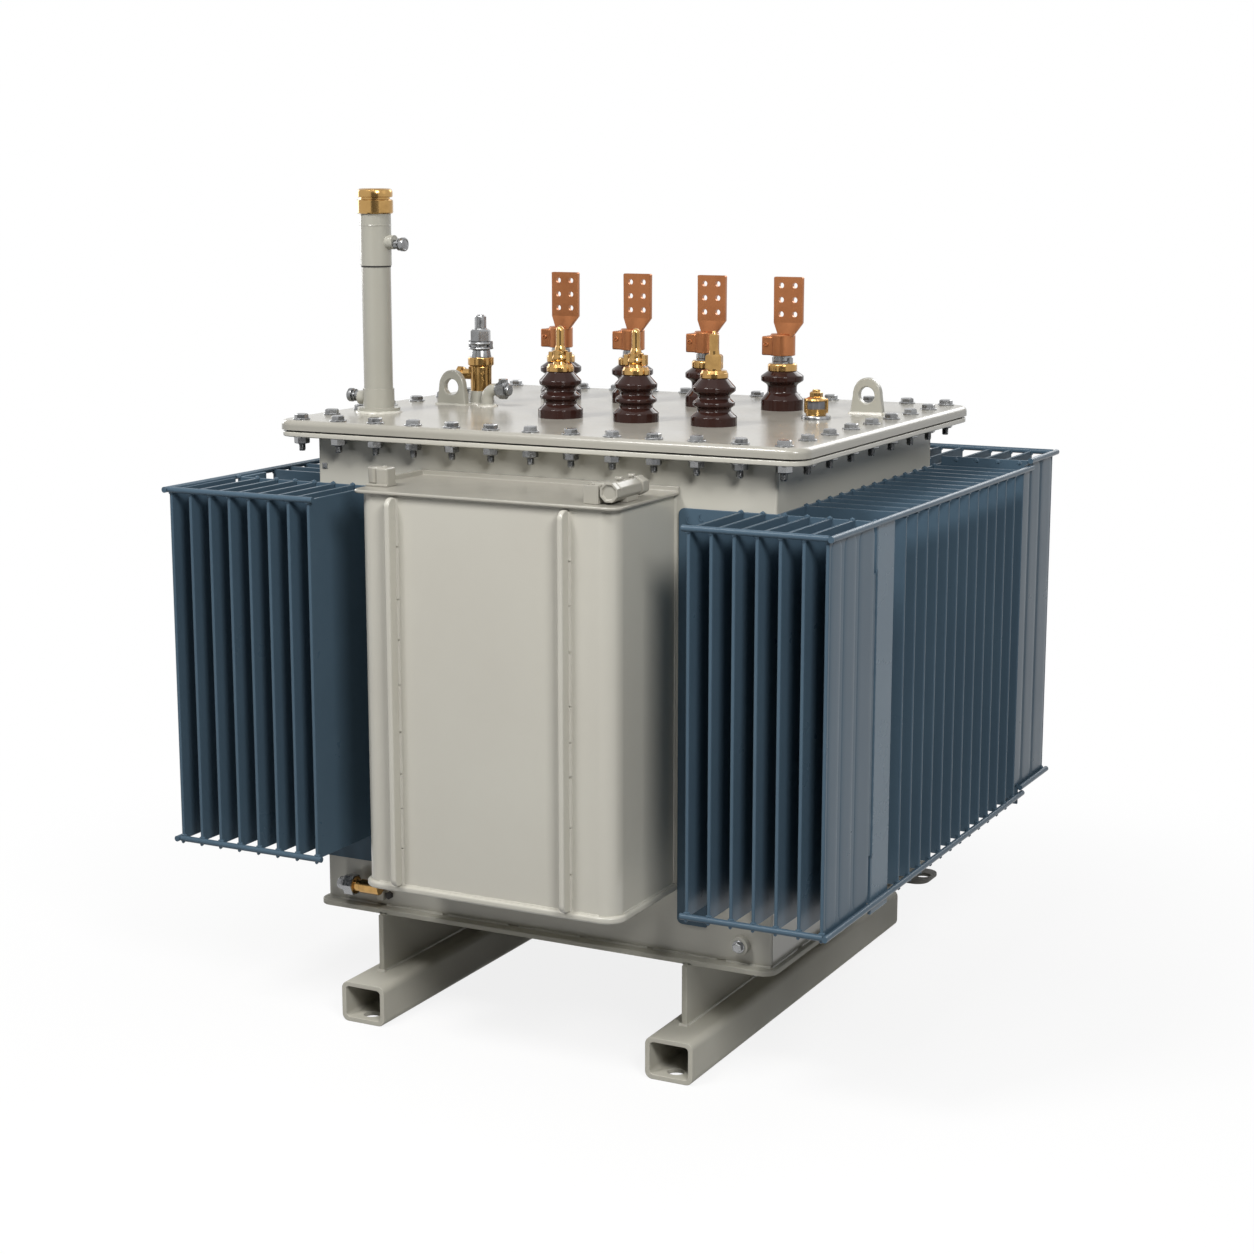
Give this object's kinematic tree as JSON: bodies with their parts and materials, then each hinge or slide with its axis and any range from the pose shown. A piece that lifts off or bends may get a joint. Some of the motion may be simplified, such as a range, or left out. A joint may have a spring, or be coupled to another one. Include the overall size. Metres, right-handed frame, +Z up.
{
  "type": "oil-immersed transformer",
  "caption": "Oil-immersed distribution transformer on skids: bolted-lid tank with plate fin banks, a front box, porcelain bushings, copper terminal flags and a filling pipe.",
  "frame": {"origin": "on the floor, midway between the two skids and under the centre of the tank", "axes": "+Z up, -Y towards the front with the box, +X to the right seen from the front"},
  "size_m": [1.694, 1.584, 1.981],
  "materials": {
    "tank_paint": "semi-gloss warm light grey paint",
    "fin_paint": "satin dark slate blue paint",
    "porcelain": "glossy chocolate brown glaze",
    "brass": "machined brass",
    "copper": "satin bare copper",
    "plated_steel": "zinc plated steel",
    "gasket": "dark sealing rubber"
  },
  "bodies": {
    "root": {"skid_left": "tank_paint", "skid_right": "tank_paint", "skid_webs": "tank_paint", "base_plate": "tank_paint", "tank_front_wall": "tank_paint", "tank_rear_wall": "tank_paint", "tank_left_wall": "tank_paint", "tank_right_wall": "tank_paint", "tank_flange_long_bars": "tank_paint", "tank_flange_short_bars": "tank_paint", "lid": "tank_paint", "box_shell": "tank_paint", "box_floor": "tank_paint", "box_lid": "tank_paint", "box_ribs": "tank_paint", "box_clamp": "tank_paint", "box_latch": "tank_paint", "fill_pipe": "tank_paint", "lifting_lugs": "tank_paint", "valve_collar": "tank_paint", "vent_elbow": "tank_paint", "earth_boss": "tank_paint", "towing_lugs": "tank_paint", "front_left_header": "fin_paint", "front_right_header": "fin_paint", "front_left_fins": "fin_paint", "front_right_fins": "fin_paint", "right_side_header": "fin_paint", "left_side_header": "fin_paint", "right_side_fins": "fin_paint", "left_side_fins": "fin_paint", "corner_panels": "fin_paint", "side_end_plates": "fin_paint", "rear_header": "fin_paint", "rear_fins": "fin_paint", "fin_rods_top": "fin_paint", "fin_rods_bottom": "fin_paint", "hv_insulator_1": "porcelain", "hv_insulator_2": "porcelain", "hv_insulator_3": "porcelain", "lv_insulator_1": "porcelain", "lv_insulator_2": "porcelain", "lv_insulator_3": "porcelain", "lv_insulator_4": "porcelain", "hv_terminals": "brass", "lv_collars": "brass", "fill_pipe_cap": "brass", "valve_body": "brass", "relief_body": "brass", "drain_valve": "brass", "lv_flag_1": "copper", "lv_flag_2": "copper", "lv_flag_3": "copper", "lv_flag_4": "copper", "fill_pipe_plugs": "plated_steel", "valve_stem": "plated_steel", "vent_union": "plated_steel", "relief_base": "plated_steel", "drain_cap": "plated_steel", "lid_gasket": "gasket"}
  },
  "joints": []
}
